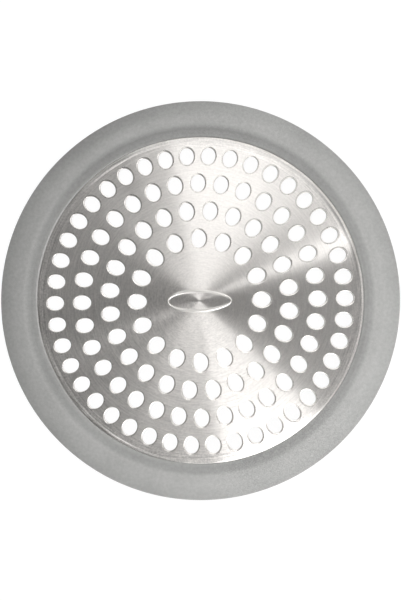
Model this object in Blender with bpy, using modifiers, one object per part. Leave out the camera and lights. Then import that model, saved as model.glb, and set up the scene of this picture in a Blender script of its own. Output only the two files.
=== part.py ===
# Drain protector: a domed, perforated steel plate in a soft rim that lies flat on the shower floor
# round the drain. Water runs through the plate, which keeps hair back.
# Metres, +Z up. The origin is on the floor, under the middle of the plate.

import math

import bmesh
import bpy
from mathutils import Matrix, Vector

# Whole object
RIM_DIAMETER = 0.146

# Fits, cuts and roundness
MOULDED_GAP = 0.0003  # between the plate and the rim that is moulded round it
CUT_OVERRUN = 0.002  # how far a cutter reaches past the faces that it cuts
MERGE_DISTANCE = 0.00001
ROUND_SEGMENTS = 60
FILLET_STEPS = 3
SHARP_ANGLE = math.radians(32)

# Soft rim, from its outer edge inwards
RIM_EDGE_HEIGHT = 0.0016
RIM_EDGE_FILLET = 0.0005
RIM_FOOT_FILLET = 0.0002
SLOPE_RUN = 0.0054  # across the outer slope
SLOPE_FILLET = 0.0200
BAND_RUN = 0.0042  # across the gentler band inside the slope
BAND_FALL = 0.0010
BAND_FILLET = 0.0150
COVER_RUN = 0.0030  # from the lip to the flange's edge, over the flange
COVER_FALL = 0.0004
LIP_FILLET = 0.0003

# Soft rim round the plate's flange
FLANGE_BED = 0.0012  # silicone under the flange
FLANGE_COVER = 0.0020  # silicone over the flange's edge

# Perforated plate, by its upper and outer face
PLATE_THICKNESS = 0.0008
DOME_RISE = 0.00735  # from the top of the wall to the crown
WALL_HEIGHT = 0.00275  # of the turned-down wall over the flange
SHOULDER_FILLET = 0.0020
FLANGE_FILLET = 0.0005

# Oval holes in rings, with distances along the dome
HOLE_LENGTH = 0.0071  # along the radius, in the innermost ring
HOLE_WIDTH = 0.0057
OUTER_HOLE_SHARE = 0.95  # of that length and width, in the outermost ring
INNER_WEB = 0.00325  # steel between neighbouring holes of the innermost ring
OUTER_WEB = 0.00245
RING_WEB = 0.0029  # least steel between the holes of neighbouring rings
EDGE_MARGIN = 0.0042  # steel between the outermost holes and the wall
OVAL_MARGIN = 0.0071  # steel between the oval's ends and the innermost holes
STAGGERED_RING = 1  # this ring, counted from 0, is turned by half a hole pitch
HOLE_SEGMENTS = 12

# Pressed oval at the crown: a raised edge round a sunk field
OVAL_LENGTH = 0.0235
OVAL_WIDTH = 0.0086
OVAL_EDGE_WIDTH = 0.0006
OVAL_EDGE_HEIGHT = 0.0003
OVAL_DEPTH = 0.00045
OVAL_SEGMENTS = 40

# Finishes: colour, metallic, roughness
STEEL = ((0.60, 0.59, 0.57), 1.0, 0.35)
SILICONE = ((0.42, 0.42, 0.41), 0.0, 0.65)

# Radii that follow from these sizes, from the edge inwards
RIM_RADIUS = RIM_DIAMETER / 2
BAND_RADIUS = RIM_RADIUS - SLOPE_RUN
COVER_RADIUS = BAND_RADIUS - BAND_RUN
FLANGE_RADIUS = COVER_RADIUS
LIP_RADIUS = COVER_RADIUS - COVER_RUN
WALL_RADIUS = LIP_RADIUS - MOULDED_GAP
SKIRT_RADIUS = WALL_RADIUS - PLATE_THICKNESS + MOULDED_GAP

# Heights that follow from these sizes, from the floor up
FLANGE_TOP = FLANGE_BED + MOULDED_GAP + PLATE_THICKNESS
POCKET_TOP = FLANGE_TOP + MOULDED_GAP
COVER_HEIGHT = POCKET_TOP + FLANGE_COVER
LIP_HEIGHT = COVER_HEIGHT + COVER_FALL
BAND_HEIGHT = COVER_HEIGHT - BAND_FALL
WALL_TOP = FLANGE_TOP + WALL_HEIGHT
CROWN_HEIGHT = WALL_TOP + DOME_RISE
DOME_RADIUS = (WALL_RADIUS**2 + DOME_RISE**2) / (2 * DOME_RISE)


def clear_scene():
    for obj in list(bpy.data.objects):
        bpy.data.objects.remove(obj)


def make_collection(name):
    collection = bpy.data.collections.new(name)
    bpy.context.scene.collection.children.link(collection)
    return collection


def make_material(name, finish):
    colour, metallic, roughness = finish
    material = bpy.data.materials.new(name)
    material.use_nodes = True
    shader = material.node_tree.nodes["Principled BSDF"]
    shader.inputs["Base Color"].default_value = (*colour, 1.0)
    shader.inputs["Metallic"].default_value = metallic
    shader.inputs["Roughness"].default_value = roughness
    return material


def make_object(name, shape, collection):
    """A mesh object from a bmesh, which it frees."""
    mesh = bpy.data.meshes.new(name)
    shape.to_mesh(mesh)
    shape.free()
    obj = bpy.data.objects.new(name, mesh)
    collection.objects.link(obj)
    return obj


def fillet_corner(before, corner, after, radius):
    """Points of the arc that rounds a corner of an outline, which uses half of each side at most."""
    if radius <= 0:
        return [corner]
    back = before - corner
    ahead = after - corner
    half_angle = back.angle(ahead) / 2
    reach = min(radius / math.tan(half_angle), back.length / 2, ahead.length / 2)
    middle = corner + (back.normalized() + ahead.normalized()).normalized() * reach / math.cos(half_angle)
    start = corner + back.normalized() * reach - middle
    end = corner + ahead.normalized() * reach - middle
    sweep = math.pi - 2 * half_angle
    side = (end - start * math.cos(sweep)) / math.sin(sweep)
    turns = [sweep * step / FILLET_STEPS for step in range(FILLET_STEPS + 1)]
    return [middle + start * math.cos(turn) + side * math.sin(turn) for turn in turns]


def rounded_outline(corners, closed):
    """Points of an outline given as (radius, height, fillet) corners."""
    places = [Vector((radius, height)) for radius, height, _ in corners]
    points = []
    for index, (_, _, fillet) in enumerate(corners):
        at_end = index in (0, len(corners) - 1)
        if at_end and not closed:
            points.append(places[index])
            continue
        before = places[index - 1]
        after = places[(index + 1) % len(places)]
        points += fillet_corner(before, places[index], after, fillet)
    return points


def turned_shape(name, points, closed, collection):
    """An outline in the XZ plane, turned round Z by a Screw modifier."""
    shape = bmesh.new()
    verts = [shape.verts.new((point.x, 0, point.y)) for point in points]
    for first, second in zip(verts, verts[1:]):
        shape.edges.new((first, second))
    if closed:
        shape.edges.new((verts[-1], verts[0]))
    obj = make_object(name, shape, collection)
    screw = obj.modifiers.new("Turn", "SCREW")
    screw.steps = ROUND_SEGMENTS
    screw.render_steps = ROUND_SEGMENTS
    screw.use_merge_vertices = True
    screw.merge_threshold = MERGE_DISTANCE
    return obj


def add_boolean(obj, tool, operation):
    boolean = obj.modifiers.new(tool.name, "BOOLEAN")
    boolean.operation = operation
    boolean.object = tool
    tool.hide_render = True
    tool.display_type = "WIRE"


def finish_piece(obj, material):
    """Applies the modifiers, shades round faces smooth and gives the piece its material."""
    seen = bpy.context.evaluated_depsgraph_get()
    mesh = bpy.data.meshes.new_from_object(obj.evaluated_get(seen))
    obj.modifiers.clear()
    obj.data = mesh
    mesh.shade_smooth()
    mesh.set_sharp_from_angle(angle=SHARP_ANGLE)
    mesh.materials.clear()
    mesh.materials.append(material)


def dome_height(radius):
    return CROWN_HEIGHT - DOME_RADIUS + math.sqrt(DOME_RADIUS**2 - radius**2)


def dome_radius_at(arc):
    """Distance from the axis of a point that lies this far from the crown along the dome."""
    return DOME_RADIUS * math.sin(arc / DOME_RADIUS)


def ring_arcs():
    """Distances of the hole rings from the crown, along the dome: as many as find room."""
    wall_arc = DOME_RADIUS * math.asin(WALL_RADIUS / DOME_RADIUS)
    first = (OVAL_LENGTH + HOLE_LENGTH) / 2 + OVAL_MARGIN
    last = wall_arc - EDGE_MARGIN - OUTER_HOLE_SHARE * HOLE_LENGTH / 2
    steps = max(int((last - first) / (HOLE_LENGTH + RING_WEB)), 1)
    return [first + (last - first) * step / steps for step in range(steps + 1)]


def add_prism(shape, radius_x, radius_y, low, high, segments, place):
    """Adds an upright oval prism, moved by the matrix in place."""
    size = Matrix.Diagonal((radius_x, radius_y, high - low, 1.0))
    middle = Matrix.Translation((0, 0, (low + high) / 2))
    bmesh.ops.create_cone(
        shape,
        cap_ends=True,
        segments=segments,
        radius1=1.0,
        radius2=1.0,
        depth=1.0,
        matrix=place @ middle @ size,
    )


def make_hole_cutters(collection):
    """Oval prisms square to the dome. Holes and webs narrow a little from ring to ring."""
    shape = bmesh.new()
    arcs = ring_arcs()
    dome_centre = Matrix.Translation((0, 0, CROWN_HEIGHT - DOME_RADIUS))
    for ring, arc in enumerate(arcs):
        outwards = ring / (len(arcs) - 1)
        share = 1.0 + (OUTER_HOLE_SHARE - 1.0) * outwards
        web = INNER_WEB + (OUTER_WEB - INNER_WEB) * outwards
        count = round(math.tau * dome_radius_at(arc) / (share * HOLE_WIDTH + web))
        lean = Matrix.Rotation(arc / DOME_RADIUS, 4, "Y")
        for index in range(count):
            pitches = index + 0.5 if ring == STAGGERED_RING else index
            turn = Matrix.Rotation(math.tau * pitches / count, 4, "Z")
            add_prism(
                shape,
                share * HOLE_LENGTH / 2,
                share * HOLE_WIDTH / 2,
                DOME_RADIUS - PLATE_THICKNESS - CUT_OVERRUN,
                DOME_RADIUS + CUT_OVERRUN,
                HOLE_SEGMENTS,
                dome_centre @ turn @ lean,
            )
    return make_object("hole_cutters", shape, collection)


def make_oval(collection, name, inset, low, high):
    shape = bmesh.new()
    length = OVAL_LENGTH / 2 - inset
    width = OVAL_WIDTH / 2 - inset
    add_prism(shape, length, width, low, high, OVAL_SEGMENTS, Matrix.Identity(4))
    return make_object(name, shape, collection)


def make_plate(parts, cutters):
    """Pressed sheet: dome, shoulder, short wall and flange, then the oval and the holes."""
    arcs = ring_arcs()
    half_pitch = (arcs[1] - arcs[0]) / 2
    rows = [0.0, (arcs[0] - half_pitch) / 2] + [arc - half_pitch for arc in arcs]
    corners = [(dome_radius_at(arc), dome_height(dome_radius_at(arc)), 0.0) for arc in rows]
    corners += [
        (WALL_RADIUS, WALL_TOP, SHOULDER_FILLET),
        (WALL_RADIUS, FLANGE_TOP, FLANGE_FILLET),
        (FLANGE_RADIUS, FLANGE_TOP, 0.0),
    ]
    plate = turned_shape("perforated_plate", rounded_outline(corners, False), False, parts)
    sheet = plate.modifiers.new("Sheet", "SOLIDIFY")
    sheet.thickness = PLATE_THICKNESS
    sheet.offset = -1.0
    sheet.use_even_offset = True

    field_height = CROWN_HEIGHT - OVAL_DEPTH
    boss_top = CROWN_HEIGHT + OVAL_EDGE_HEIGHT
    boss = make_oval(cutters, "oval_boss", 0.0, field_height - PLATE_THICKNESS, boss_top)
    field = make_oval(cutters, "oval_field", OVAL_EDGE_WIDTH, field_height, boss_top + CUT_OVERRUN)
    add_boolean(plate, boss, "UNION")
    add_boolean(plate, field, "DIFFERENCE")
    add_boolean(plate, make_hole_cutters(cutters), "DIFFERENCE")
    finish_piece(plate, make_material("brushed_steel", STEEL))


def make_rim(parts):
    """Soft ring: lip, cover, band and slope over a pocket that holds the flange."""
    pocket_radius = FLANGE_RADIUS + MOULDED_GAP
    corners = [
        (LIP_RADIUS, LIP_HEIGHT, LIP_FILLET),
        (COVER_RADIUS, COVER_HEIGHT, BAND_FILLET),
        (BAND_RADIUS, BAND_HEIGHT, SLOPE_FILLET),
        (RIM_RADIUS, RIM_EDGE_HEIGHT, RIM_EDGE_FILLET),
        (RIM_RADIUS, 0.0, RIM_FOOT_FILLET),
        (SKIRT_RADIUS, 0.0, 0.0),
        (SKIRT_RADIUS, FLANGE_BED, 0.0),
        (pocket_radius, FLANGE_BED, 0.0),
        (pocket_radius, POCKET_TOP, 0.0),
        (LIP_RADIUS, POCKET_TOP, FLANGE_FILLET - MOULDED_GAP),
    ]
    rim = turned_shape("silicone_rim", rounded_outline(corners, True), True, parts)
    finish_piece(rim, make_material("grey_silicone", SILICONE))


def main():
    clear_scene()
    parts = make_collection("drain_protector")
    cutters = make_collection("cutters")
    make_plate(parts, cutters)
    make_rim(parts)


main()
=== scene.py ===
# Looks of the drain protector: a brushed, perforated steel plate in a matte silicone rim.
# Lengths are in metres, and angles in degrees where a name says so. A turn goes from 0 to 1 round the
# plate, from +X towards +Y. A table of stops gives a strength or a tone by turn, radius or height.
import math

import bmesh
import bpy
from mathutils import Matrix, Vector


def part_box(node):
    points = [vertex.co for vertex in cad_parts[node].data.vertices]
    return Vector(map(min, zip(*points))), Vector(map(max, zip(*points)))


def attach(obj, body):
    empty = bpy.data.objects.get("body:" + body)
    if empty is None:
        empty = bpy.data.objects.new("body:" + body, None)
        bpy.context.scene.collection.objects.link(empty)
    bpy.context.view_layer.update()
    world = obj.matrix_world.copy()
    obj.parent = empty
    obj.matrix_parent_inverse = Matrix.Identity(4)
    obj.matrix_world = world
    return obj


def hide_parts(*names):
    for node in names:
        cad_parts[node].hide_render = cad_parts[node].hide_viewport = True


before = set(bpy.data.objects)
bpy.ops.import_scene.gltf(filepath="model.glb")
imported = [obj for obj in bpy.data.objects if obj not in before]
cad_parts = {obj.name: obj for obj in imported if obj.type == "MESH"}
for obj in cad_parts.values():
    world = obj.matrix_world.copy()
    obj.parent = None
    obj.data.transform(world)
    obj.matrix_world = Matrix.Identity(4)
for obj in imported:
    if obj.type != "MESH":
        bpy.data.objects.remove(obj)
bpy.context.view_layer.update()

plate_low, plate_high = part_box("perforated_plate")
_, rim_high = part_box("silicone_rim")

MM = 0.001
TURN = math.tau
NEAR = 0.02 * MM  # places closer than this count as the same
SPHERE_NEAR = 0.0003 * MM  # the same, for distances from the dome's centre
PLATE_MERGE = 0.002 * MM
RIM_MERGE = 0.001 * MM

# Sheet steel plate, whose crown and flange lie where the CAD's do
SHEET = 0.8 * MM
OVAL_EDGE_HEIGHT = 0.3 * MM
DOME_RISE = 7.35 * MM
WALL_RADIUS = 60.0 * MM
SHOULDER_FILLET = 1.9 * MM
FLANGE_FILLET = 0.5 * MM
FLANGE_RADIUS = plate_high.x
FLANGE_TOP = plate_low.z + SHEET
CROWN = plate_high.z - OVAL_EDGE_HEIGHT
WALL_TOP = CROWN - DOME_RISE
DOME_RADIUS = (WALL_RADIUS**2 + DOME_RISE**2) / (2 * DOME_RISE)
DOME_EDGE_LEAN = math.asin(WALL_RADIUS / DOME_RADIUS)
SHOULDER_MIDDLE = Vector((
    WALL_RADIUS - SHOULDER_FILLET,
    WALL_TOP - SHOULDER_FILLET * math.tan(math.pi / 4 - DOME_EDGE_LEAN / 2),
))

# Hole rings: count, arc steps and side steps of a cell, and turn in pitches
RINGS = ((16, 18, 18, 0.0), (24, 12, 16, 0.5), (32, 9, 15, 0.0), (42, 7, 15, 0.0))
HOLE_LENGTH = 6.45 * MM
HOLE_WIDTH = 5.16 * MM
OUTER_HOLE_SHARE = 0.987
FIRST_RING_ARC = 22.45 * MM
LAST_RING_ARC = 53.11 * MM
LAST_CELL_MARGIN = 4.2 * MM  # from the last ring to the edge of its cells
PATTERN_SHIFT = Vector((0.13 * MM, -0.025 * MM, 0.0))  # the holes aren't quite central
CELL_HALF = 0.5  # half a side of the unit square that a cell starts from
CELL_INSET = 0.05 * MM
OUTLINE_WIDTH = 0.26 * MM  # of the darker line round a hole, whose colour is painted shade
OUTLINE_DROP = 0.07 * MM
UPPER_ROUND = 0.34 * MM  # roll of a hole's upper edge
UPPER_STEPS = 4
LOWER_ROUND = 0.1 * MM
LOWER_STEPS = 2
BANDED_PARTINGS = (2, 3)  # where the steps of two rings don't meet, a plain band joins them
BAND_HALF_WIDTH = 0.3 * MM

# Pressed oval at the crown: half axes of the raised edge's inner foot, crest and outer foot
OVAL_AXES = ((10.9 * MM, 2.7 * MM), (11.35 * MM, 3.5 * MM), (11.75 * MM, 4.25 * MM))
OVAL_RISE = 0.27 * MM
OVAL_MIDDLE = (-0.08 * MM, -0.145 * MM)
OVAL_NARROWING = 0.14  # how much slimmer its +X end is
OVAL_STEPS = RINGS[0][0] * RINGS[0][1]
UPPER_EDGE_STEPS = 7  # from a foot of the raised edge to its crest
LOWER_EDGE_STEPS = 4
PRESSED_SHARE = 0.8  # of the raised edge, from its crest towards its feet, that the brush has missed
CROWN_ROW_SHARES = (0.3, 0.6, 0.85)  # from the edge of the first cells to the oval
FIELD_ROW_SHARES = (0.35, 0.7, 0.95)  # from the oval's edge to its middle

# Steel that the brush has missed: name, dark and light colour, roughness, and tone by turn, which paints
# light and shade.
# Numbers are those of the plate's materials, the first of which is the brushed steel.
BRUSHED, ROLLED, WALL, PRESSED, OUTLINE = range(5)
# Painted light: the rolled edges are lighter at the front right, towards the front lamps
ROLLED_PAINTED_LIGHT = ((0.72, 1.0), (0.77, 1.35), (0.86, 1.35), (0.9, 1.0))
# Painted light and shade on the hole outlines: lighter round the left and front, darker in two sectors
# towards the back
OUTLINE_PAINTED_LIGHT_AND_SHADE = (
    (0.0, 1.15), (0.03, 0.88), (0.16, 0.88), (0.19, 1.2), (0.25, 1.2), (0.28, 0.9), (0.36, 0.9), (0.42, 1.3),
    (0.47, 1.6), (0.66, 1.6), (0.7, 1.8), (0.8, 1.8), (0.86, 1.4), (0.9, 1.15),
)
CUT_STEELS = (
    ("rolled_edge_steel", (0.69, 0.67, 0.644), (0.77, 0.748, 0.718), 0.32, ROLLED_PAINTED_LIGHT),
    ("punched_wall_steel", (0.58, 0.57, 0.555), (0.68, 0.67, 0.655), 0.32, None),
    ("pressed_edge_steel", (0.67, 0.65, 0.624), (0.75, 0.728, 0.7), 0.42, None),
    # The hole outline's dark colour is painted shade round the holes
    ("painted_shade_hole_outline_steel", (0.47, 0.455, 0.437), (0.57, 0.552, 0.53), 0.3, OUTLINE_PAINTED_LIGHT_AND_SHADE),
)
CUT_GRAIN_SCALE = 2600.0
CUT_ROUGHNESS_SPREAD = 0.05
CUT_BUMP = 0.01 * MM
CUT_BUMP_STRENGTH = 0.2

# Brushed steel. Grooves have a density across and one along, and a streak is what they do to the tone.
STEEL_COLOUR = (0.7, 0.676, 0.651)
FINE_GROOVES = (4200.0, 9.0)
COARSE_GROOVES = (1500.0, 5.0)
STREAK_CENTRE = 0.01 * MM  # nearer the axis than this, the direction of a streak is left to fade
MOTTLE_SCALE = 1500.0
STEEL_CLOUD_SCALE = 45.0
STEEL_CLOUD_DETAIL = 3.0
GRAIN_SHARES = (0.4, 0.3, 0.3)  # of the fine grooves, the coarse grooves and the mottle
STEEL_ROUGHNESS = (0.285, 0.315)
CLOUD_ROUGHNESS = (-0.01, 0.01)
CROSS_FALL = -0.5  # how far the direction across the grooves points down
GROOVE_BUMP = 0.003 * MM
GROOVE_DEPTHS = ((55.5 * MM, 1.0), (57.5 * MM, 2.5))
STREAK_CONTRASTS = ((54.5 * MM, 0.75), (57.0 * MM, 1.6))
STREAK_TURNS = (
    (0.3, 1.0), (0.4, 1.3), (0.5, 1.9), (0.66, 1.9), (0.69, 1.6), (0.83, 1.6), (0.86, 1.2), (1.0, 1.2),
)

# Lines on the steel along the lip, partly wear and partly painted light and shade.
# A line is full within the first of its reaches, and gone at the second.
# Two scuffed lines, lighter and less metallic, paint in light there: one wanders, and the other keeps its
# radius, at the joint.
SCUFF_LIGHT_STRENGTHS = (
    (0.27, 0.0), (0.295, 0.7), (0.335, 1.0), (0.355, 0.7), (0.38, 0.15), (0.54, 0.08), (0.57, 0.25),
    (0.6, 0.22), (0.62, 0.35), (0.66, 0.75), (0.69, 0.55), (0.72, 0.3), (0.745, 0.0),
)
SCUFF_PLACES = (
    (0.3, 57.9 * MM), (0.4, 57.8 * MM), (0.54, 57.5 * MM), (0.6, 57.6 * MM), (0.66, 58.15 * MM),
    (0.72, 58.7 * MM),
)
SCUFF_WANDER = 0.5 * MM
WANDER_DENSITY = (0.0, 9.0)
SCUFF_REACH = (0.15 * MM, 0.45 * MM)
SEAM_LIGHT_STRENGTHS = (
    (0.03, 0.0), (0.06, 0.45), (0.08, 0.9), (0.11, 0.9), (0.14, 0.6), (0.165, 0.4), (0.19, 0.6), (0.2, 0.0),
    (0.27, 0.0), (0.3, 0.75), (0.33, 0.7), (0.345, 0.5), (0.365, 0.2), (0.38, 0.0),
)
SEAM_RADIUS = 59.1 * MM
SEAM_REACH = (0.1 * MM, 0.4 * MM)
SCUFF_METALLIC_LOSS = 0.95
# Painted light: how much lighter the scuffed lines are
SCUFF_PAINTED_LIGHT = 0.2
# A darker line of painted shade lies between the dome and the shoulder
SHADE_LINE_RADIUS = 58.5 * MM
SHADE_LINE_REACH = (0.15 * MM, 0.9 * MM)
SHADE_LINE_STRENGTHS = (
    (0.01, 0.0), (0.05, 0.5), (0.085, 0.55), (0.11, 0.3), (0.14, 0.2), (0.19, 0.12), (0.27, 0.08), (0.3, 0.0),
)

# Silicone rim: its outer radius and the height of its cover are the CAD's
RIM_RADIUS = rim_high.x
RIM_STEPS = 360
RIM_SHARP_ANGLE = math.radians(50)
POCKET_GAP = 0.3 * MM
POCKET_PLAY = 0.05 * MM
LIP_RADIUS = 59.48 * MM  # where the lip lies on the shoulder
LIP_SHIFT = (0.2 * MM, 0.08 * MM)  # the lip isn't quite central
LIP_GAP = 0.03 * MM
LIP_EDGE = 0.05 * MM
LIP_EDGE_FILLET = 0.03 * MM
LIP_HIGH_AZIMUTH = math.radians(105)  # where the lip stands highest over the steel
CREST_RISE = (0.1 * MM, 0.4 * MM)  # of the crest over where the lip lies, at its lowest and its highest
CREST_REACH = (0.35 * MM, 0.55 * MM)
CREST_FILLET = 1.5 * MM
FLASH = 0.34 * MM  # how much further in a thin flash of the lip reaches at its middle
FLASH_AZIMUTH = math.radians(207)
FLASH_REACH = math.radians(17)
# Cover, band, slope and thin edge: radius, drop below the rim's top, fillet and its steps
COVER_CORNERS = (
    (61.6 * MM, 0.0, 2.5 * MM, 5),
    (63.4 * MM, 0.3 * MM, 6.0 * MM, 6),
    (66.4 * MM, 0.94 * MM, 16.0 * MM, 6),
    (69.4 * MM, 1.94 * MM, 20.0 * MM, 6),
    (RIM_RADIUS, 3.4 * MM, 0.45 * MM, 6),
)
FOOT_FILLET = 0.2 * MM
SKIRT_FILLET = 0.15 * MM
BED_FILLET = 0.1 * MM
COVER_FILLET = 0.3 * MM
SEAT_SHARES = (0, 0.25, 0.5, 0.75)  # of the way back up the shoulder, under the lip

# Silicone from a sandblasted mould: fine specks, coarser grain and faint clouds
SILICONE_DARK = (0.373, 0.3725, 0.363)
SILICONE_LIGHT = (0.453, 0.4525, 0.442)
SILICONE_IOR = 1.41
SPECK_SCALE = 2300.0
GRAIN_SCALE = 900.0
GRAIN_DETAIL = 3.0
GRAIN_ROUGHNESS = 0.6
CLOUD_SCALE = 60.0
CLOUD_DETAIL = 3.0
TONE_SHARES = (0.6, 0.4)  # of the grain and the clouds in the colour
TONE_RANGE = (0.35, 0.65)
HEIGHT_SHARES = (0.6, 0.4)  # of the specks and the grain in the height
SILICONE_ROUGHNESS = (0.52, 0.68)
SILICONE_BUMP = 0.09 * MM
SILICONE_BUMP_STRENGTH = 0.8
GRAIN_STRENGTHS = (  # how strongly the specks show in the colour
    (0.1, 0.0), (0.17, 0.35), (0.25, 0.35), (0.32, 0.1), (0.38, 0.0), (0.74, 0.0), (0.79, 0.9), (0.87, 0.9),
    (0.93, 0.0),
)

# The rim's tone by radius: painted shade darkens it beside the steel's shoulder, and it is also darker
# towards its outer edge
RIM_PAINTED_SHADES = (
    (60.0 * MM, 0.92), (61.0 * MM, 0.83), (62.6 * MM, 0.83), (64.1 * MM, 1.06), (67.4 * MM, 1.05),
    (72.5 * MM, 0.885),
)
# Painted shade by turn: how much darker the cover and the slope are (lighter where negative), and how far
# that reaches by radius
COVER_PAINTED_SHADES = (
    (0.0, -0.04), (0.1, 0.0), (0.15, 0.1), (0.2, 0.15), (0.33, 0.15), (0.375, 0.04), (0.42, -0.14),
    (0.6, -0.14), (0.68, -0.08), (0.75, 0.01), (0.8, 0.04), (0.9, 0.0), (1.0, -0.04),
)
COVER_REACH = ((61.5 * MM, 0.5), (62.8 * MM, 1.0), (63.8 * MM, 0.9), (65.0 * MM, 0.0))
SLOPE_PAINTED_SHADES = ((0.22, 0.02), (0.28, 0.1), (0.31, 0.17), (0.36, 0.17), (0.41, 0.0))
SLOPE_REACH = ((66.5 * MM, 0.0), (69.5 * MM, 1.0))

# A range that holds nearly all values of a noise texture
NOISE_RANGE = (0.3, 0.7)

# Floor
FLOOR_HALF = 12.0
FLOOR_HEIGHT = -0.02 * MM
FLOOR_PAINT = (0.8, 0.8, 0.8, 1.0)
FAINT_PAINT = (0.12, 0.12, 0.12, 1.0)
WHITE = (1.0, 1.0, 1.0, 1.0)
FLOOR_GLOWS = ((0.45, 0.93), (0.65, 1.0))  # by radius: it makes up for the lamps' light where that ends

# Camera, almost straight above
CAMERA_PLACE = (19.4 * MM, -1.2 * MM, 750 * MM)
CAMERA_AIM = (0.126 * MM, 0.034 * MM, 0.0)
LENS = 122.62
SENSOR = 36.0
CLIP_START = 0.01
ROLL_DEGREES = 1.0

# Soft panels, seen from the object: name, azimuths, elevations and radiance
PANEL_DISTANCE = 0.7
PANELS = (
    ("panel_front_low", (275.3, 314.7), (2.0, 50.2), 3.79),
    ("panel_front_high", (273.5, 314.1), (74.4, 86.5), 4.11),
    ("panel_back_high", (61.0, 102.5), (55.0, 86.5), 2.79),
    ("panel_back_edge", (44.5, 60.0), (60.7, 72.5), 4.59),
    ("panel_side_strip", (18.9, 26.9), (27.7, 86.5), 3.09),
    ("panel_side_fill", (28.2, 43.8), (10.4, 71.6), 0.99),
    ("panel_back_strip", (97.9, 116.2), (11.1, 43.0), 1.17),
    ("panel_right_low", (314.6, 375.7), (19.5, 33.1), 2.57),
    ("panel_front_edge", (260.5, 274.6), (3.5, 19.6), 2.90),
    ("panel_front_left", (239.3, 294.6), (17.8, 86.5), 0.19),
    ("panel_back_low", (45.6, 101.9), (10.8, 23.3), 4.11),
    ("panel_left_back", (127.0, 182.6), (32.3, 53.3), 0.22),
)
HAZE_HEIGHTS = ((0.14, 1.0), (0.28, 0.156), (0.9, 0.156), (0.99, 0.24))  # by the Z of a direction
HAZE_TURNS = ((0.48, 1.0), (0.54, 0.84), (0.64, 0.84), (0.69, 1.0))


def new_object(name, shape, materials):
    mesh = bpy.data.meshes.new(name)
    shape.to_mesh(mesh)
    shape.free()
    obj = bpy.data.objects.new(name, mesh)
    bpy.context.scene.collection.objects.link(obj)
    for material in materials:
        mesh.materials.append(material)
    return obj


def mix(low, high, share):
    return low + (high - low) * share


def swell(angle):
    """1 at an angle of 0, and 0 half a turn away."""
    return 0.5 + 0.5 * math.cos(angle)


# Nodes

def new_material(name):
    material = bpy.data.materials.new(name)
    material.use_nodes = True
    return material, material.node_tree


def put(tree, kind, values=None, **settings):
    """Adds a node with its settings and the values of its inputs, by name or number."""
    node = tree.nodes.new(kind)
    for key, value in settings.items():
        setattr(node, key, value)
    for key, value in (values or {}).items():
        node.inputs[key].default_value = value
    return node


def maths(tree, operation, first, second=None, third=None):
    node = put(tree, "ShaderNodeMath", operation=operation)
    for index, value in enumerate((first, second, third)):
        if value is None:
            continue
        if isinstance(value, (int, float)):
            node.inputs[index].default_value = value
        else:
            tree.links.new(value, node.inputs[index])
    return node.outputs[0]


def noise(tree, vector, scale, detail=2.0, roughness=0.5):
    node = put(tree, "ShaderNodeTexNoise", {"Scale": scale, "Detail": detail, "Roughness": roughness})
    tree.links.new(vector, node.inputs["Vector"])
    return node.outputs["Fac"]


def remap(tree, value, low, high, new_low, new_high):
    """Straight run from new_low at low to new_high at high, and level beyond."""
    node = put(tree, "ShaderNodeMapRange", {1: low, 2: high, 3: new_low, 4: new_high})
    tree.links.new(value, node.inputs[0])
    return node.outputs[0]


def graded(tree, value, stops):
    """Straight runs between stops of (value, result), and level beyond them."""
    result = None
    for (start, first), (end, second) in zip(stops, stops[1:]):
        if result is None:
            result = remap(tree, value, start, end, first, second)
        elif first != second:
            result = maths(tree, "ADD", result, remap(tree, value, start, end, 0.0, second - first))
    return result


def weighted_sum(tree, values, weights):
    total = maths(tree, "MULTIPLY", values[0], weights[0])
    for value, weight in zip(values[1:], weights[1:]):
        total = maths(tree, "MULTIPLY_ADD", value, weight, total)
    return total


def blend_colours(tree, share, first, second):
    node = put(tree, "ShaderNodeMix", {6: (*first, 1.0), 7: (*second, 1.0)}, data_type="RGBA")
    tree.links.new(share, node.inputs[0])
    return node.outputs[2]


def scale_colour(tree, colour, tone):
    node = put(tree, "ShaderNodeVectorMath", operation="SCALE")
    tree.links.new(colour, node.inputs[0])
    tree.links.new(tone, node.inputs["Scale"])
    return node.outputs[0]


def bump(tree, height, distance, strength=1.0):
    node = put(tree, "ShaderNodeBump", {"Strength": strength, "Distance": distance})
    tree.links.new(height, node.inputs["Height"])
    return node.outputs["Normal"]


def object_place(tree):
    return put(tree, "ShaderNodeTexCoord").outputs["Object"]


def axis_distance(tree, place):
    """Distance from the plate's axis, with the two sides that it comes from."""
    split = put(tree, "ShaderNodeSeparateXYZ")
    tree.links.new(place, split.inputs[0])
    x, y, _ = split.outputs
    squares = maths(tree, "MULTIPLY_ADD", x, x, maths(tree, "MULTIPLY", y, y))
    return maths(tree, "SQRT", squares), x, y


def turn_share(tree, x, y):
    """Azimuth as a share of the whole turn, from 0 to 1."""
    return maths(tree, "FRACT", maths(tree, "DIVIDE", maths(tree, "ARCTAN2", y, x), TURN))


def radius_and_turn(tree, place):
    radius, x, y = axis_distance(tree, place)
    return radius, turn_share(tree, x, y)


def streaks(tree, place, across, along):
    """Noise drawn out in circles round the crown: across is its density along the radius."""
    radius, x, y = axis_distance(tree, place)
    whole = maths(tree, "MAXIMUM", radius, STREAK_CENTRE)
    polar = put(tree, "ShaderNodeCombineXYZ")
    tree.links.new(maths(tree, "MULTIPLY", radius, across), polar.inputs[0])
    for index, side in enumerate((x, y), start=1):
        share = maths(tree, "DIVIDE", side, whole)
        tree.links.new(maths(tree, "MULTIPLY", share, along), polar.inputs[index])
    return noise(tree, polar.outputs[0], 1.0)


# Materials

def lip_line(tree, radius, turn, line, reach, strengths):
    """A line round the plate at this radius, as strong as its stops say. It draws the scuffed lines of
    painted light and the line of painted shade.
    """
    core, end = reach
    away = maths(tree, "ABSOLUTE", maths(tree, "SUBTRACT", radius, line))
    shape = remap(tree, away, core, end, 1.0, 0.0)
    return maths(tree, "MULTIPLY", shape, graded(tree, turn, strengths))


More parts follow.
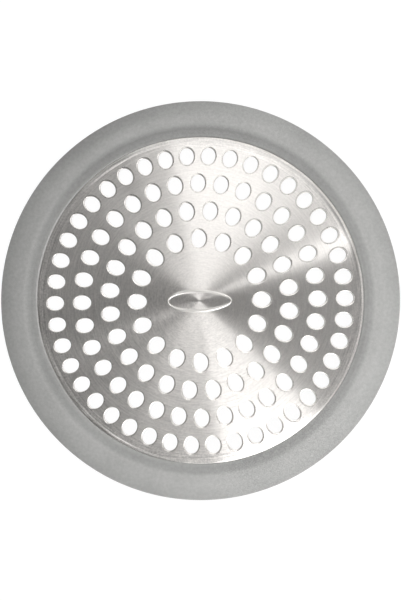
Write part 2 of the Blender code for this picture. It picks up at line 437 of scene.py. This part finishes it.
def lip_light_and_shade_lines(tree, place):
    """Strengths of the two scuffed lines of painted light together, and of the line of painted shade, along
    the rim's lip.
    """
    radius, turn = radius_and_turn(tree, place)
    wander = maths(tree, "SUBTRACT", streaks(tree, place, *WANDER_DENSITY), 0.5)
    line = maths(tree, "MULTIPLY_ADD", wander, SCUFF_WANDER, graded(tree, turn, SCUFF_PLACES))
    scuff_light = lip_line(tree, radius, turn, line, SCUFF_REACH, SCUFF_LIGHT_STRENGTHS)
    seam_light = lip_line(tree, radius, turn, SEAM_RADIUS, SEAM_REACH, SEAM_LIGHT_STRENGTHS)
    shade_line = lip_line(tree, radius, turn, SHADE_LINE_RADIUS, SHADE_LINE_REACH, SHADE_LINE_STRENGTHS)
    return maths(tree, "MAXIMUM", scuff_light, seam_light), shade_line


def across_grooves(tree, place):
    """Direction away from the crown and down, which lies across the brushing all over the sheet."""
    flat = put(tree, "ShaderNodeVectorMath", {1: (1.0, 1.0, 0.0)}, operation="MULTIPLY")
    tree.links.new(place, flat.inputs[0])
    outward = put(tree, "ShaderNodeVectorMath", operation="NORMALIZE")
    tree.links.new(flat.outputs[0], outward.inputs[0])
    slope = put(tree, "ShaderNodeVectorMath", {1: (0.0, 0.0, CROSS_FALL)}, operation="ADD")
    tree.links.new(outward.outputs[0], slope.inputs[0])
    return slope.outputs[0]


def make_brushed_steel():
    """Sheet brushed in circles: grooves run round the crown, so light spreads along the radius."""
    material, tree = new_material("circle_brushed_steel")
    shader = tree.nodes["Principled BSDF"]
    shader.inputs["Anisotropic"].default_value = 1.0
    place = object_place(tree)
    scuff_light, shade_line = lip_light_and_shade_lines(tree, place)
    metallic = maths(tree, "MULTIPLY_ADD", scuff_light, -SCUFF_METALLIC_LOSS, 1.0)
    tree.links.new(metallic, shader.inputs["Metallic"])
    tree.links.new(across_grooves(tree, place), shader.inputs["Tangent"])

    radius, turn = radius_and_turn(tree, place)
    fine_grain = streaks(tree, place, *FINE_GROOVES)
    coarse_grain = streaks(tree, place, *COARSE_GROOVES)
    mottle = noise(tree, place, MOTTLE_SCALE)
    grain = weighted_sum(tree, (fine_grain, coarse_grain, mottle), GRAIN_SHARES)
    contrast = maths(
        tree, "MULTIPLY", graded(tree, radius, STREAK_CONTRASTS), graded(tree, turn, STREAK_TURNS)
    )
    tone = maths(tree, "MULTIPLY_ADD", maths(tree, "SUBTRACT", grain, 0.5), contrast, 1.0)
    # Painted shade along the line between the dome and the shoulder
    tone = maths(tree, "MULTIPLY", tone, maths(tree, "SUBTRACT", 1.0, shade_line))
    # Painted light along the scuffed lines
    tone = maths(tree, "MULTIPLY", tone, maths(tree, "MULTIPLY_ADD", scuff_light, SCUFF_PAINTED_LIGHT, 1.0))
    colour = put(tree, "ShaderNodeVectorMath", {0: STEEL_COLOUR}, operation="SCALE")
    tree.links.new(tone, colour.inputs["Scale"])
    tree.links.new(colour.outputs[0], shader.inputs["Base Color"])

    cloud = noise(tree, place, STEEL_CLOUD_SCALE, STEEL_CLOUD_DETAIL)
    rough = maths(
        tree,
        "ADD",
        remap(tree, coarse_grain, *NOISE_RANGE, *STEEL_ROUGHNESS),
        remap(tree, cloud, *NOISE_RANGE, *CLOUD_ROUGHNESS),
    )
    tree.links.new(rough, shader.inputs["Roughness"])
    depth = maths(tree, "MULTIPLY", coarse_grain, graded(tree, radius, GROOVE_DEPTHS))
    tree.links.new(bump(tree, depth, GROOVE_BUMP), shader.inputs["Normal"])
    return material


def make_cut_steel(name, dark, light, rough, turn_light_and_shade):
    """Steel that the brush has missed, between two colours. Its turn-by-turn tone, if any, is painted light
    and shade.
    """
    material, tree = new_material(name)
    shader = tree.nodes["Principled BSDF"]
    shader.inputs["Metallic"].default_value = 1.0
    place = object_place(tree)
    grain = noise(tree, place, CUT_GRAIN_SCALE)
    colour = blend_colours(tree, grain, dark, light)
    if turn_light_and_shade:
        _, turn = radius_and_turn(tree, place)
        colour = scale_colour(tree, colour, graded(tree, turn, turn_light_and_shade))
    tree.links.new(colour, shader.inputs["Base Color"])
    spread = (rough - CUT_ROUGHNESS_SPREAD, rough + CUT_ROUGHNESS_SPREAD)
    tree.links.new(remap(tree, grain, *NOISE_RANGE, *spread), shader.inputs["Roughness"])
    tree.links.new(bump(tree, grain, CUT_BUMP, CUT_BUMP_STRENGTH), shader.inputs["Normal"])
    return material


def make_silicone():
    """Matte grey silicone, with painted shade and light by radius and by turn."""
    material, tree = new_material("matte_grey_silicone")
    shader = tree.nodes["Principled BSDF"]
    shader.inputs["IOR"].default_value = SILICONE_IOR
    place = object_place(tree)
    speck = noise(tree, place, SPECK_SCALE)
    grain = noise(tree, place, GRAIN_SCALE, GRAIN_DETAIL, GRAIN_ROUGHNESS)
    cloud = noise(tree, place, CLOUD_SCALE, CLOUD_DETAIL)
    share = remap(tree, weighted_sum(tree, (grain, cloud), TONE_SHARES), *TONE_RANGE, 0.0, 1.0)
    colour = blend_colours(tree, share, SILICONE_DARK, SILICONE_LIGHT)

    radius, turn = radius_and_turn(tree, place)
    # Painted shade by radius, then painted shade and light on the cover and the slope by turn
    level = graded(tree, radius, RIM_PAINTED_SHADES)
    for shades, reach in ((COVER_PAINTED_SHADES, COVER_REACH), (SLOPE_PAINTED_SHADES, SLOPE_REACH)):
        darker = maths(tree, "MULTIPLY", graded(tree, turn, shades), graded(tree, radius, reach))
        level = maths(tree, "SUBTRACT", level, darker)
    grainy = maths(tree, "MULTIPLY", maths(tree, "SUBTRACT", speck, 0.5), graded(tree, turn, GRAIN_STRENGTHS))
    level = maths(tree, "MULTIPLY_ADD", grainy, level, level)
    tree.links.new(scale_colour(tree, colour, level), shader.inputs["Base Color"])

    tree.links.new(remap(tree, speck, *NOISE_RANGE, *SILICONE_ROUGHNESS), shader.inputs["Roughness"])
    height = weighted_sum(tree, (speck, grain), HEIGHT_SHARES)
    tree.links.new(bump(tree, height, SILICONE_BUMP, SILICONE_BUMP_STRENGTH), shader.inputs["Normal"])
    return material


def background_rays(tree):
    """1 for the rays that see the background as white: camera, glossy and transmission rays."""
    path = put(tree, "ShaderNodeLightPath").outputs
    seen = maths(tree, "MAXIMUM", path["Is Camera Ray"], path["Is Glossy Ray"])
    return maths(tree, "MAXIMUM", seen, path["Is Transmission Ray"])


def make_floor_material():
    """To the camera and in reflections, a white glow with a little of the lamps' light, which keeps the
    shadow. To other rays, plain white paint."""
    material, tree = new_material("white_sweep")
    tree.nodes.remove(tree.nodes["Principled BSDF"])
    paint = put(tree, "ShaderNodeBsdfDiffuse", {"Color": FLOOR_PAINT})
    faint = put(tree, "ShaderNodeBsdfDiffuse", {"Color": FAINT_PAINT})
    glow = put(tree, "ShaderNodeEmission", {"Color": WHITE})
    radius, _, _ = axis_distance(tree, object_place(tree))
    tree.links.new(graded(tree, radius, FLOOR_GLOWS), glow.inputs["Strength"])
    white = put(tree, "ShaderNodeAddShader")
    tree.links.new(faint.outputs[0], white.inputs[0])
    tree.links.new(glow.outputs[0], white.inputs[1])
    choice = put(tree, "ShaderNodeMixShader")
    tree.links.new(background_rays(tree), choice.inputs[0])
    tree.links.new(paint.outputs[0], choice.inputs[1])
    tree.links.new(white.outputs[0], choice.inputs[2])
    tree.links.new(choice.outputs[0], tree.nodes["Material Output"].inputs["Surface"])
    return material


# Sections

def fillet_corner(before, corner, after, radius, steps):
    """Points of the arc that rounds a corner, from one tangent point to the other."""
    if radius <= 0:
        return [corner]
    back = before - corner
    ahead = after - corner
    half_angle = back.angle(ahead) / 2
    reach = min(radius / math.tan(half_angle), back.length / 2, ahead.length / 2)
    middle = corner + (back.normalized() + ahead.normalized()).normalized() * reach / math.cos(half_angle)
    start = corner + back.normalized() * reach - middle
    end = corner + ahead.normalized() * reach - middle
    sweep = math.pi - 2 * half_angle
    side = (end - start * math.cos(sweep)) / math.sin(sweep)
    turns = [sweep * step / steps for step in range(steps + 1)]
    return [middle + start * math.cos(turn) + side * math.sin(turn) for turn in turns]


def rounded_outline(corners, closed):
    """Points of an outline given as (radius, height, fillet, steps) corners."""
    places = [Vector((radius, height)) for radius, height, _, _ in corners]
    points = []
    for index, (_, _, fillet, steps) in enumerate(corners):
        if index in (0, len(corners) - 1) and not closed:
            points.append(places[index])
            continue
        after = places[(index + 1) % len(places)]
        points += fillet_corner(places[index - 1], places[index], after, fillet, steps)
    return points


def turned(point, angle):
    """A section's point, turned round the axis to this azimuth."""
    return (point.x * math.cos(angle), point.x * math.sin(angle), point.y)


def azimuth(vert):
    return math.atan2(vert.co.y, vert.co.x)


def grow_loop(shape, edges, keys, place):
    """Extrudes a loop by one step. Each vertex has its key, and place gives where a key goes."""
    grown = bmesh.ops.extrude_edge_only(shape, edges=edges)["geom"]
    new_edges = [item for item in grown if isinstance(item, bmesh.types.BMEdge)]
    new_keys = {}
    for vert in (item for item in grown if isinstance(item, bmesh.types.BMVert)):
        base = next(edge.other_vert(vert) for edge in vert.link_edges if edge.other_vert(vert) in keys)
        new_keys[vert] = keys[base]
        vert.co = place(keys[base])
    faces = [item for item in grown if isinstance(item, bmesh.types.BMFace)]
    return new_edges, new_keys, faces


# Plate

def dome_point(arc, angle, lift=0.0):
    """Point that lies this far from the crown along the dome, raised square to the dome."""
    lean = arc / DOME_RADIUS
    reach = (DOME_RADIUS + lift) * math.sin(lean)
    height = CROWN - DOME_RADIUS + (DOME_RADIUS + lift) * math.cos(lean)
    return Vector((reach * math.cos(angle), reach * math.sin(angle), height))


def ring_bounds():
    """Arc of each hole ring, and the arcs that part the rings."""
    pitch = (LAST_RING_ARC - FIRST_RING_ARC) / (len(RINGS) - 1)
    arcs = [FIRST_RING_ARC + pitch * ring for ring in range(len(RINGS))]
    parting = [arcs[0] - pitch / 2] + [arc + pitch / 2 for arc in arcs]
    parting[-1] = LAST_RING_ARC + LAST_CELL_MARGIN
    return arcs, parting


def hole_profile():
    """Steps down a hole's wall: how far it stands back from the hole, its lift and its material's number."""
    steps = [(UPPER_ROUND, -OUTLINE_DROP, OUTLINE)]
    for step in range(1, UPPER_STEPS + 1):
        turn = math.pi / 2 * step / UPPER_STEPS
        lift = -OUTLINE_DROP - UPPER_ROUND * (1 - math.cos(turn))
        steps.append((UPPER_ROUND * (1 - math.sin(turn)), lift, ROLLED))
    for step in range(LOWER_STEPS + 1):
        turn = math.pi / 2 * step / LOWER_STEPS
        lift = LOWER_ROUND * (1 - math.sin(turn)) - SHEET
        steps.append((LOWER_ROUND * (1 - math.cos(turn)), lift, WALL))
    return steps


def add_cell(plan, ring, arc, low, high):
    """One hole and the sheet round it, flat: x along the radius, before it is repeated and domed."""
    count, arc_steps, side_steps, turn = RINGS[ring]
    share = mix(1.0, OUTER_HOLE_SHARE, ring / (len(RINGS) - 1))
    half_length = share * HOLE_LENGTH / 2
    half_width = share * HOLE_WIDTH / 2
    sheet = bmesh.ops.create_grid(plan, x_segments=side_steps, y_segments=arc_steps, size=CELL_HALF)
    faces = list({face for vert in sheet["verts"] for face in vert.link_faces})
    cell = bmesh.ops.dissolve_faces(plan, faces=faces)["region"][0]
    pitch = TURN / count
    for vert in cell.verts:
        reach = mix(low, high, vert.co.x + CELL_HALF)
        angle = pitch * vert.co.y
        vert.co = (reach * math.cos(angle), reach * math.sin(angle), 0)
    outline = set(cell.verts)
    bmesh.ops.inset_individual(plan, faces=[cell], thickness=CELL_INSET, use_even_offset=True)

    def oval_place(turned_by, back, lift):
        return (
            arc + (half_length + back) * math.cos(turned_by),
            (half_width + back) * math.sin(turned_by),
            lift,
        )

    middle = Vector((arc, 0, 0))
    keys = {}
    for vert in cell.verts:
        away = vert.co - middle
        turned_by = math.atan2(away.y / half_width, away.x / half_length)
        partner = next(edge.other_vert(vert) for edge in vert.link_edges if edge.other_vert(vert) in outline)
        keys[vert] = (turned_by, partner.co.copy())
        vert.co = oval_place(turned_by, UPPER_ROUND + OUTLINE_WIDTH, 0)
    edges = cell.edges[:]
    made = set(outline) | set(keys)
    bmesh.ops.delete(plan, geom=[cell], context="FACES_ONLY")
    for back, lift, material_number in hole_profile():
        edges, keys, faces = grow_loop(plan, edges, keys, lambda key: oval_place(key[0], back, lift))
        for face in faces:
            face.material_index = material_number
        made |= set(keys)
    edges, keys, faces = grow_loop(plan, edges, keys, lambda key: (key[1].x, key[1].y, -SHEET))
    for face in faces:
        face.material_index = BRUSHED
    made |= set(keys)
    verts = list(made)
    bmesh.ops.rotate(plan, verts=verts, cent=(0, 0, 0), matrix=Matrix.Rotation(turn * pitch, 3, "Z"))
    faces = list({face for vert in verts for face in vert.link_faces})
    edges = list({edge for vert in verts for edge in vert.link_edges})
    bmesh.ops.spin(
        plan,
        geom=verts + edges + faces,
        cent=(0, 0, 0),
        axis=(0, 0, 1),
        angle=TURN * (count - 1) / count,
        steps=count - 1,
        use_duplicate=True,
    )


def loop_at(plan, arc, lift):
    """Open edges of the plan whose ends both lie at this distance from the middle and this lift."""
    return [
        edge
        for edge in plan.edges
        if edge.is_boundary
        and all(abs(vert.co.xy.length - arc) < NEAR and abs(vert.co.z - lift) < NEAR for vert in edge.verts)
    ]


def oval_point(turn, step, rise):
    """Point of the oval's raised edge: step goes from -1, its inner foot, to 1, its outer foot."""
    inner, crest, outer = OVAL_AXES
    far = outer if step > 0 else inner
    length = mix(crest[0], far[0], abs(step))
    width = mix(crest[1], far[1], abs(step))
    slim = 1 - OVAL_NARROWING * math.cos(turn)
    return (
        OVAL_MIDDLE[0] + length * math.cos(turn),
        OVAL_MIDDLE[1] + width * slim * math.sin(turn),
        rise,
    )


def add_crown(plan, outer, lift, steps):
    """The sheet inside the first ring, with the oval's raised edge. Its height is kept in z."""
    made = bmesh.ops.create_circle(plan, segments=OVAL_STEPS, radius=outer)
    keys = {vert: azimuth(vert) for vert in made["verts"]}
    edges = list({edge for vert in keys for edge in vert.link_edges})
    for vert in keys:
        vert.co.z = lift
    for share in CROWN_ROW_SHARES:
        def between(turn):
            foot = Vector(oval_point(turn, 1.0, lift))
            edge = Vector((outer * math.cos(turn), outer * math.sin(turn), lift))
            return edge.lerp(foot, share)
        edges, keys, _ = grow_loop(plan, edges, keys, between)
    for index in range(2 * steps + 1):
        step = 1 - index / steps
        rise = OVAL_RISE * swell(math.pi * step)
        edges, keys, faces = grow_loop(plan, edges, keys, lambda turn: oval_point(turn, step, lift + rise))
        for face in faces:
            face.material_index = PRESSED if abs(step) < PRESSED_SHARE else BRUSHED
    middle = Vector((*OVAL_MIDDLE, lift))
    for share in FIELD_ROW_SHARES:
        edges, keys, faces = grow_loop(
            plan, edges, keys, lambda turn: Vector(oval_point(turn, -1.0, lift)).lerp(middle, share)
        )
        for face in faces:
            face.material_index = BRUSHED
    centre = plan.verts.new(middle)
    for edge in edges:
        plan.faces.new((edge.verts[0], edge.verts[1], centre))


def make_plate_plan():
    """Both sides of the dome's sheet and its holes as a flat plan, with arcs for radii and lift for z."""
    plan = bmesh.new()
    arcs, parting = ring_bounds()
    for ring, arc in enumerate(arcs):
        low = parting[ring] + BAND_HALF_WIDTH * (ring in BANDED_PARTINGS)
        high = parting[ring + 1] - BAND_HALF_WIDTH * (ring + 1 in BANDED_PARTINGS)
        add_cell(plan, ring, arc, low, high)
    add_crown(plan, parting[0], 0.0, UPPER_EDGE_STEPS)
    add_crown(plan, parting[0], -SHEET, LOWER_EDGE_STEPS)
    bmesh.ops.remove_doubles(plan, verts=plan.verts, dist=PLATE_MERGE)
    for lift in (0.0, -SHEET):
        for band in BANDED_PARTINGS:
            inner_loop = loop_at(plan, parting[band] - BAND_HALF_WIDTH, lift)
            outer_loop = loop_at(plan, parting[band] + BAND_HALF_WIDTH, lift)
            bmesh.ops.bridge_loops(plan, edges=inner_loop + outer_loop)
    return plan, parting[-1]


def edge_profile(outer_arc):
    """Shoulder, wall and flange, from the dome's upper side round to its underside."""
    start = dome_point(outer_arc, 0.0)
    end = dome_point(outer_arc, 0.0, -SHEET)
    inside = WALL_RADIUS - SHEET
    inner_height = CROWN - DOME_RADIUS + math.sqrt((DOME_RADIUS - SHEET) ** 2 - inside**2)
    corners = [
        (start.x, start.z, 0, 0),
        (WALL_RADIUS, WALL_TOP, SHOULDER_FILLET, 12),
        (WALL_RADIUS, FLANGE_TOP, FLANGE_FILLET, 4),
        (FLANGE_RADIUS, FLANGE_TOP, LOWER_ROUND, 2),
        (FLANGE_RADIUS, FLANGE_TOP - SHEET, LOWER_ROUND, 2),
        (inside, FLANGE_TOP - SHEET, FLANGE_FILLET + SHEET, 5),
        (inside, inner_height, SHOULDER_FILLET - SHEET, 5),
        (end.x, end.z, 0, 0),
    ]
    return rounded_outline(corners, False)


def make_plate(materials):
    """The plan is domed, and its outer edge grows into the shoulder, the wall and the flange."""
    plan, outer_arc = make_plate_plan()
    edges = loop_at(plan, outer_arc, 0.0)
    keys = {vert: azimuth(vert) for edge in edges for vert in edge.verts}
    for vert in plan.verts:
        if vert.co.xy.length < outer_arc - NEAR:
            vert.co += PATTERN_SHIFT
        vert.co = dome_point(vert.co.xy.length, azimuth(vert), vert.co.z)
    for point in edge_profile(outer_arc)[1:]:
        edges, keys, _ = grow_loop(plan, edges, keys, lambda turn: turned(point, turn))
    bmesh.ops.remove_doubles(plan, verts=plan.verts, dist=PLATE_MERGE)
    bmesh.ops.recalc_face_normals(plan, faces=plan.faces)
    if plan.calc_volume(signed=True) < 0:
        bmesh.ops.reverse_faces(plan, faces=plan.faces)
    plate = new_object("pressed_plate", plan, materials)
    plate.data.shade_smooth()
    set_dome_normals(plate.data)
    return plate


def set_dome_normals(mesh):
    """Exact normals on the dome's two sides, so that the hole edges don't bend the light on the sheet."""
    centre = Vector((0, 0, CROWN - DOME_RADIUS))
    normals = []
    for vert, normal in zip(mesh.vertices, mesh.vertex_normals):
        away = vert.co - centre
        if abs(away.length - DOME_RADIUS) < SPHERE_NEAR:
            normals.append(away.normalized())
        elif abs(away.length - DOME_RADIUS + SHEET) < SPHERE_NEAR:
            normals.append(-away.normalized())
        else:
            normals.append(normal.vector)
    mesh.normals_split_custom_set_from_vertices(normals)


# Rim

def lip_radius(angle):
    return LIP_RADIUS + LIP_SHIFT[0] * math.cos(angle) + LIP_SHIFT[1] * math.sin(angle)


def flash_width(angle):
    """How much further in than the lip its flash reaches at this azimuth."""
    away = min(abs(angle % TURN - FLASH_AZIMUTH) / FLASH_REACH, 1.0)
    return FLASH * swell(math.pi * away)


def lip_tilt(radius):
    """Lean of the plate's shoulder where a lip of this radius lies on it."""
    return math.asin((radius - SHOULDER_MIDDLE.x) / (SHOULDER_FILLET + LIP_GAP))


def seat_point(tilt):
    """Point just over the plate's shoulder where that leans by this angle."""
    return SHOULDER_MIDDLE + (SHOULDER_FILLET + LIP_GAP) * Vector((math.sin(tilt), math.cos(tilt)))


def rim_section(angle):
    """Section at this azimuth: lip, cover over the flange, band, slope, thin edge and the flange's pocket."""
    skirt_radius = WALL_RADIUS - SHEET + POCKET_GAP
    pocket_radius = FLANGE_RADIUS + POCKET_PLAY
    bed = FLANGE_TOP - SHEET - POCKET_PLAY
    cover = FLANGE_TOP + POCKET_PLAY
    lip = lip_radius(angle)
    tilt = lip_tilt(lip - flash_width(angle))
    foot = seat_point(tilt)
    root = seat_point(lip_tilt(lip))
    lifted = swell(angle - LIP_HIGH_AZIMUTH)
    corners = [
        (foot.x, foot.y, 0, 0),
        (foot.x, foot.y + LIP_EDGE, LIP_EDGE_FILLET, 3),
        (root.x + mix(*CREST_REACH, lifted), root.y + mix(*CREST_RISE, lifted), CREST_FILLET, 8),
    ]
    corners += [(radius, rim_high.z - drop, fillet, steps) for radius, drop, fillet, steps in COVER_CORNERS]
    corners += [
        (RIM_RADIUS, 0.0, FOOT_FILLET, 3),
        (skirt_radius, 0.0, SKIRT_FILLET, 3),
        (skirt_radius, bed, BED_FILLET, 2),
        (pocket_radius, bed, 0, 0),
        (pocket_radius, cover, 0, 0),
        (WALL_RADIUS + LIP_GAP, cover, COVER_FILLET, 3),
    ]
    seat = [seat_point(mix(math.pi / 2, tilt, share)) for share in SEAT_SHARES]
    return rounded_outline(corners, True) + seat


def make_rim(silicone):
    """A ring of sections, grown step by step along their outline."""
    shape = bmesh.new()
    bmesh.ops.create_circle(shape, segments=RIM_STEPS, radius=LIP_RADIUS)
    keys = {vert: azimuth(vert) for vert in shape.verts}
    sections = {angle: rim_section(angle) for angle in keys.values()}
    edges = shape.edges[:]
    for vert, angle in keys.items():
        vert.co = turned(sections[angle][0], angle)
    count = len(rim_section(0.0))
    for index in range(1, count + 1):
        edges, keys, _ = grow_loop(
            shape, edges, keys, lambda angle: turned(sections[angle][index % count], angle)
        )
    bmesh.ops.remove_doubles(shape, verts=shape.verts, dist=RIM_MERGE)
    bmesh.ops.recalc_face_normals(shape, faces=shape.faces)
    rim = new_object("moulded_rim", shape, [silicone])
    rim.data.shade_smooth()
    rim.data.set_sharp_from_angle(angle=RIM_SHARP_ANGLE)
    return rim


# Stage

def make_floor():
    shape = bmesh.new()
    bmesh.ops.create_grid(shape, x_segments=1, y_segments=1, size=FLOOR_HALF)
    bmesh.ops.translate(shape, verts=shape.verts, vec=(0, 0, FLOOR_HEIGHT))
    floor = new_object("floor", shape, [make_floor_material()])


def make_camera():
    data = bpy.data.cameras.new("above")
    data.lens = LENS
    data.sensor_width = SENSOR
    data.clip_start = CLIP_START
    camera = bpy.data.objects.new("above", data)
    camera.location = CAMERA_PLACE
    lean = Vector((0, 0, 1)).rotation_difference(Vector(CAMERA_PLACE) - Vector(CAMERA_AIM))
    roll = Matrix.Rotation(-math.radians(ROLL_DEGREES), 3, "Z")
    camera.rotation_euler = (lean.to_matrix() @ roll).to_euler()
    bpy.context.scene.collection.objects.link(camera)
    bpy.context.scene.camera = camera


def add_panel(name, azimuths, elevations, radiance):
    """An upright soft panel that fills these azimuths and elevations."""
    half = (azimuths[1] - azimuths[0]) / 2
    middle = math.radians(azimuths[0] + half)
    low, high = (PANEL_DISTANCE * math.tan(math.radians(angle)) for angle in elevations)
    data = bpy.data.lights.new(name, "AREA")
    data.shape = "RECTANGLE"
    data.size = 2 * PANEL_DISTANCE * math.tan(math.radians(half))
    data.size_y = high - low
    data.energy = radiance * math.pi * data.size * data.size_y
    lamp = bpy.data.objects.new(name, data)
    lamp.location = (PANEL_DISTANCE * math.cos(middle), PANEL_DISTANCE * math.sin(middle), (low + high) / 2)
    lamp.rotation_euler = (math.pi / 2, 0, middle + math.pi / 2)
    lamp.visible_camera = False
    bpy.context.scene.collection.objects.link(lamp)


def make_world():
    """Haze that is white at the horizon and grey above, a little darker at the left front."""
    world = bpy.data.worlds.new("studio")
    world.use_nodes = True
    tree = world.node_tree
    back = tree.nodes["Background"]
    heading = put(tree, "ShaderNodeTexCoord").outputs["Generated"]
    split = put(tree, "ShaderNodeSeparateXYZ")
    tree.links.new(heading, split.inputs[0])
    turn = turn_share(tree, split.outputs["X"], split.outputs["Y"])
    by_height = graded(tree, split.outputs["Z"], HAZE_HEIGHTS)
    haze = maths(tree, "MULTIPLY", by_height, graded(tree, turn, HAZE_TURNS))
    tree.links.new(haze, back.inputs["Strength"])
    back.inputs["Color"].default_value = WHITE
    bpy.context.scene.world = world


def main():
    make_camera()
    steels = [make_brushed_steel()] + [make_cut_steel(*finish) for finish in CUT_STEELS]
    plate = make_plate(steels)
    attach(plate, "root")
    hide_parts("perforated_plate")
    rim = make_rim(make_silicone())
    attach(rim, "root")
    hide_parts("silicone_rim")
    make_floor()
    for panel in PANELS:
        add_panel(*panel)
    make_world()
    bpy.context.scene.view_settings.view_transform = "Standard"


main()
